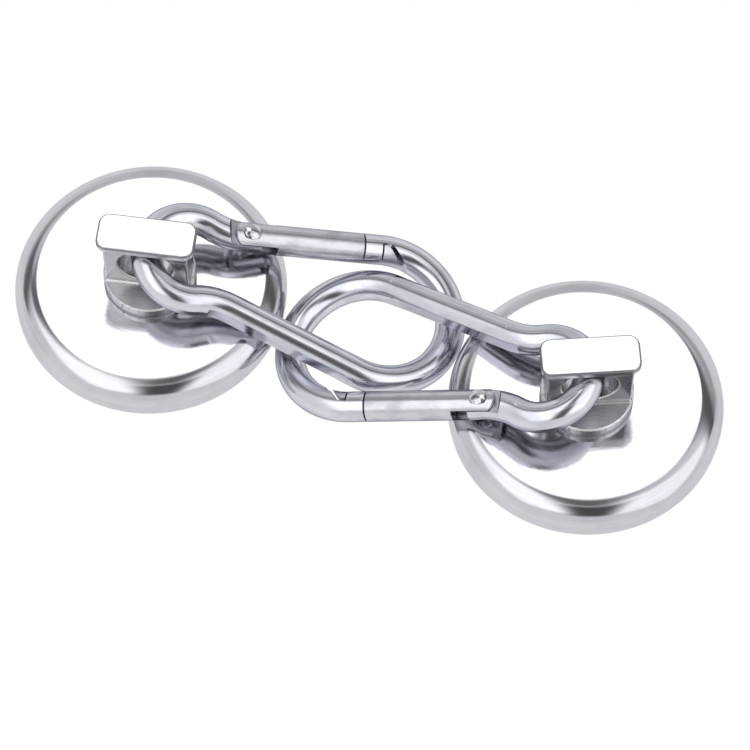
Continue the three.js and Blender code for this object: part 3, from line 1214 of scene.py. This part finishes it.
    def rivet_space(self, grown: float) -> Form:
        """The rivet's hole.

        Args:
            grown: The hole's radius.

        Returns:
            The cutter's form, in the gate's frame.
        """
        reach = self.reach
        hole = turned([(0, -reach), (grown, -reach), (grown, reach), (0, reach)], 40)
        return hole.moved(Matrix.Translation((self.pin, 0, 0)))

    def body(self) -> Form:
        """The hook's wire with its tongue, its rivet hole, and the latch's slot and notch in its nose.

        Returns:
            The hook's form.
        """
        gate = self.gate_frame()
        reach = self.reach
        nose = self.gate_end + self.clearance
        trimmed = nose + self.seam_play
        slot = self.neck_half + self.clearance
        over = 2 * self.clearance
        neck_room = rectangle((nose - 1, self.latch_back), (-reach, self.latch_top + over))
        neck_slot = prism(neck_room, -slot, slot)
        seat = prism(self.latch_outline(self.prong_gap, over, self.clearance), -reach, reach)
        gap = prism(self.latch_outline(self.prong_gap, over, self.front_gap), self.gap_floor, reach)
        trim = prism(rectangle((nose - 1, trimmed), (-reach, reach)), -reach, reach)
        cutters = [self.shoulder_cut(1), self.shoulder_cut(-1), self.rivet_space(self.rivet + self.clearance),
                   neck_slot, seat, gap, trim]
        return Bench.worked(self.wire_form(), [(Cut.AWAY, cutter.moved(gate)) for cutter in cutters])

    def latch_wire(self) -> Form:
        """A short stretch of the wire about the latch, in the gate's frame.

        Returns:
            The stretch's form.
        """
        steps = 16
        bent = arc((self.line_length, -self.big), self.big, RIGHT_ANGLE, RIGHT_ANGLE - 0.5, steps)
        points = [PathPoint(self.gate_end - 1, 0, 0, 0)]
        points += [PathPoint(x, y, -0.5 * k / steps, 0) for k, (x, y) in enumerate(bent)]
        return lofted([self.section(point, (0, 0)) for point in points])

    def gate(self) -> Form:
        """The gate in its own frame: a forked tube, its neck and the latch.

        Returns:
            The gate's form.
        """
        reach = self.reach
        low, end, back = self.pin - reach, self.gate_end, self.latch_back
        trimmed = end - self.seam_play
        outline = [(trimmed, -reach), (trimmed, reach), (self.pin, reach),
                   *arc((self.pin, 0), self.gate_round, RIGHT_ANGLE, 3 * RIGHT_ANGLE, 32), (self.pin, -reach)]
        slot = self.tongue_half + self.clearance
        seat_low, seat_round = self.wire - self.head_seat, self.rivet_head + self.clearance
        seat = turned([(0, seat_low), (seat_round, seat_low), (seat_round, reach), (0, reach)], 40)
        seat = seat.moved(Matrix.Translation((self.pin, 0, 0)))
        tube = Bench.worked(bar(self.wire, low, end), [
            (Cut.COMMON, prism(outline, -reach, reach)),
            (Cut.AWAY, prism(rectangle((low, self.slot_end), (-reach, reach)), -slot, slot)),
            (Cut.AWAY, bar(self.gate_bore, self.slot_end - 1, self.bore_end, 48)),
            (Cut.AWAY, self.rivet_space(self.rivet + self.clearance)),
            (Cut.AWAY, seat),
            (Cut.AWAY, seat.moved(Matrix.Scale(-1, 4, (0, 0, 1)))),
        ])
        neck = Bench.worked(bar(self.wire, end - 1, back + 1), [
            (Cut.COMMON, prism(rectangle((end - 1, back + 1), (-reach, self.latch_top)),
                               -self.neck_half, self.neck_half))])
        head = Bench.worked(
            self.latch_wire(), [(Cut.COMMON, prism(self.latch_outline(0, 0, 0), -reach, reach))])
        return Bench.worked(tube, [(Cut.TOGETHER, neck), (Cut.TOGETHER, head)])

    def rivet_form(self) -> Form:
        """The rivet with its two domed heads.

        Returns:
            The rivet's form, in the gate's frame.
        """
        base = self.wire - self.head_seat + self.clearance
        side = 0.45
        rise = self.rivet_dome - side
        ball = (rise ** 2 + self.rivet_head ** 2) / (2 * rise)
        rim = math.asin(self.rivet_head / ball)
        dome = arc((0, base + self.rivet_dome - ball), ball, RIGHT_ANGLE - rim, RIGHT_ANGLE, 12)
        dome[-1] = (0.0, dome[-1][1])
        upper = [(self.rivet_head - 0.1, base), (self.rivet_head, base + 0.1), *dome]
        lower = [(r, -z) for r, z in reversed(upper)]
        profile = [*lower, (self.rivet, -base), (self.rivet, base), *upper]
        return turned(profile, 48).moved(Matrix.Translation((self.pin, 0, 0)))

    def plunger(self) -> Form:
        """The pin that the spring presses on the tongue.

        Returns:
            The plunger's form, in the gate's frame.
        """
        tip, collar, guide = self.tongue_end + self.clearance, self.collar_radius, self.guide_radius
        low, high = self.collar
        nose = arc((0, tip + self.rivet), self.rivet, -RIGHT_ANGLE, 0, 10)
        nose[0] = (0.0, tip)
        profile = [*nose, (self.rivet, low), (collar, low), (collar, high), (guide, high),
                   (guide, self.guide_end), (0, self.guide_end)]
        return turned(profile, 40).moved(Matrix.Rotation(RIGHT_ANGLE, 4, "Y"))

    def spring(self) -> Form:
        """The compression spring, with a closed turn at each end.

        Returns:
            The spring's form, in the gate's frame.
        """
        radius, wire, turns = self.spring_radius, self.spring_wire, self.spring_turns
        per_turn, sides = 28, 10
        low, high = self.collar[1] + self.clearance + wire, self.bore_end - self.clearance - wire
        closed = 2 * wire
        rings = []
        for k in range(turns * per_turn + 1):
            turn = k / per_turn
            share = min(1.0, max(0.0, (turn - 1) / (turns - 2)))
            ends = min(turn, 1.0) + max(0.0, turn - (turns - 1))
            x = low + closed * ends * 0.99 + (high - low - 2 * closed) * share
            angle = 2 * math.pi * turn
            out = Vector((0, math.cos(angle), math.sin(angle)))
            corners_round = (2 * math.pi * j / sides for j in range(sides))
            rings.append([Vector((x, 0, 0)) + out * (radius + wire * math.cos(a))
                          + Vector((wire * math.sin(a), 0, 0)) for a in corners_round])
        return lofted(rings)

    def along_wire(self) -> Callable[[Vector], Vector]:
        """Gives a reader that turns a point of the hook into its place along and across the wire.

        Returns:
            The reader.
        """
        tree = KDTree(len(self.path))
        for number, point in enumerate(self.path):
            tree.insert((point.x, point.y, 0), number)
        tree.balance()

        def reader(place: Vector) -> Vector:
            """Finds the nearest place on the centre line.

            Args:
                place: A point in the hook's frame.

            Returns:
                Its place along the wire, across it, and above it.
            """
            _, number, _ = tree.find((place.x, place.y, 0))
            point = self.path[number]
            dx, dy = place.x - point.x, place.y - point.y
            run = point.run + dx * math.cos(point.heading) + dy * math.sin(point.heading)
            return Vector((run, -dx * math.sin(point.heading) + dy * math.cos(point.heading), place.z))

        return reader

    def build(self) -> None:
        """Makes the five pieces."""
        name = self.side.value
        self.path = self.centre_line()
        hook, gate = f"hook_{name}", f"gate_{name}"
        place = self.place()
        gate_place = place @ self.gate_frame()
        crease = math.radians(16)
        Piece(f"{name}_hook_body", hook, WIRE_STEEL, crease, 0.2).build(self.body(), place, self.along_wire())
        Piece(f"{name}_gate", gate, GATE_STEEL, crease, 0.2).build(self.gate(), gate_place)
        Piece(f"{name}_gate_rivet", gate, RIVET_STEEL).build(self.rivet_form(), gate_place)
        Piece(f"{name}_gate_spring", gate, SPRING_STEEL).build(self.spring(), gate_place)
        Piece(f"{name}_gate_plunger", f"plunger_{name}", ZINC).build(self.plunger(), gate_place)


# ---------------------------------------------------------------- studio


@dataclass(frozen=True)
class Card:
    """A soft-edged panel on the studio's dome.

    Its centre lies as many degrees from straight above as x and y say together, in the direction that
    they point to: x to the right of the camera's view, and y away from the camera.
    """

    x: float
    y: float
    half_width: float
    half_height: float
    light: float
    softness: float = 0.12


@dataclass
class Studio:
    """A glowing floor, a soft light dome with panels on it, and the camera."""

    azimuth: float = 17
    elevation: float = 62.5
    distance: float = 1300
    lens: float = 189.84
    sensor: float = 36
    aim: Vector = field(default_factory=lambda: Vector((1.0, -0.7, 10.0)))
    shift: Point2 = (0.008, -0.0347)
    floor_light: float = 1.0
    floor_half: float = 6000
    floor_depth: float = 20
    dome_light: float = 0.95
    tint: Colour = (0.985, 0.985, 1.0)
    cards: tuple[Card, ...] = (
        Card(0, 62, 0.25, 0.5, 0.72, 0.25),
        Card(0, 27.5, 0.17, 0.14, 2.3, 0.05),
        Card(-27, -18, 0.34, 0.62, 1.65, 0.12),
        Card(42, -24, 0.5, 0.55, 1.55, 0.14),
        Card(2, 2, 0.13, 0.22, 0.16, 0.08),
        Card(5, -36, 0.22, 0.42, 0.1, 0.12),
        Card(-40, 43, 0.4, 0.14, 0.5, 0.12),
        Card(42, 41, 0.5, 0.15, 0.5, 0.12),
        Card(-20, 25, 0.2, 0.1, 0.16, 0.06),
        Card(-48, 31, 0.35, 0.15, 0.16, 0.1),
        Card(40, 24, 0.58, 0.12, 0.12, 0.08),
    )

    def direction(self, x: float, y: float) -> Vector:
        """Gives the direction of a place on the dome, in the set's frame.

        Args:
            x: Degrees to the right of the camera's view.
            y: Degrees away from the camera.

        Returns:
            The direction.
        """
        fall = math.radians(math.hypot(x, y))
        turn = math.atan2(y, x) + math.radians(self.azimuth)
        return Vector((math.cos(turn) * math.sin(fall), math.sin(turn) * math.sin(fall), math.cos(fall)))

    def panel(self, board: Board, ray: Signal, card: Card) -> Signal:
        """Gives 1 on a card and 0 off it, with soft edges.

        Args:
            board: The world's nodes.
            ray: The direction that is looked in.
            card: The card.

        Returns:
            The mask.
        """
        centre = self.direction(card.x, card.y)
        side = self.direction(90, 0)
        side = (side - centre * side.dot(centre)).normalized()
        up = centre.cross(side)
        ahead = board.dot(ray, centre)
        depth = board.math("MAXIMUM", ahead, 0.05)
        mask = ahead.above(0.05)
        for vector, half in ((side, card.half_width), (up, card.half_height)):
            offset = abs(board.dot(ray, vector) / depth)
            mask = mask * (1 - offset.eased(half - card.softness, half + card.softness))
        return mask

    def light(self) -> None:
        """Lights the scene: a grey dome, brighter panels, and the dark gaps between them."""
        world = bpy.data.worlds.new("studio")
        bpy.context.scene.world = world
        world.use_nodes = True
        board = Board(world.node_tree)
        ray = Signal(board, board.node("ShaderNodeTexCoord").outputs["Generated"])
        level: Number = self.dome_light
        for card in self.cards:
            mask = self.panel(board, ray, card)
            level = mask * (card.light - level) + level
        background = board.node("ShaderNodeBackground", None, {"Color": (*self.tint, 1.0), "Strength": level})
        out = board.node("ShaderNodeOutputWorld")
        board.tree.links.new(background.outputs[0], out.inputs["Surface"])

    def floor(self) -> None:
        """Lays the floor: a light table, which shows no shadows."""
        half = self.floor_half
        data = prism(rectangle((-half, half), (-half, half)), -self.floor_depth, 0).mesh("floor")
        data.transform(Matrix.Scale(MM, 4))
        material = bpy.data.materials.new("floor")
        material.use_nodes = True
        board = Board(material.node_tree)
        glow = board.node("ShaderNodeEmission", None, {"Color": (1, 1, 1, 1), "Strength": self.floor_light})
        out = board.node("ShaderNodeOutputMaterial")
        board.tree.links.new(glow.outputs[0], out.inputs["Surface"])
        data.materials.append(material)
        floor = bpy.data.objects.new("floor", data)
        bpy.context.scene.collection.objects.link(floor)
        floor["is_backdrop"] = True

    def camera(self) -> None:
        """Sets the camera at the viewing angle."""
        data = bpy.data.cameras.new("camera")
        data.lens = self.lens
        data.sensor_width = self.sensor
        data.shift_x, data.shift_y = self.shift
        data.clip_start, data.clip_end = 0.05, 50
        camera = bpy.data.objects.new("camera", data)
        turn, rise = math.radians(self.azimuth), math.radians(self.elevation)
        back = Vector((math.sin(turn) * math.cos(rise), -math.cos(turn) * math.cos(rise), math.sin(rise)))
        camera.location = (self.aim + back * self.distance) * MM
        camera.rotation_euler = (-back).to_track_quat("-Z", "Y").to_euler()
        bpy.context.scene.collection.objects.link(camera)
        bpy.context.scene.camera = camera

    def build(self) -> None:
        """Sets up the whole studio."""
        self.light()
        self.floor()
        self.camera()
        scene = bpy.context.scene
        scene.view_settings.view_transform = "Standard"
        scene.view_settings.look = "None"
        scene.cycles.use_denoising = True


def corners(bounds: Sequence[Vector]) -> list[list[float]]:
    """Turns a box into plain lists."""
    return [list(corner) for corner in bounds]


def main() -> None:
    """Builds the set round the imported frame."""
    logging.basicConfig(level=logging.INFO, format="%(message)s")
    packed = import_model()
    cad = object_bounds()
    frame = Frame({joint["name"]: joint for joint in packed["joints"]})
    Studio().build()
    for side in Side:
        PotMagnet(side, frame).build()
        SnapHook(side, frame).build()
    {"cad": corners(cad), "visual": corners(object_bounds())}


if __name__ == "__main__":
    main()
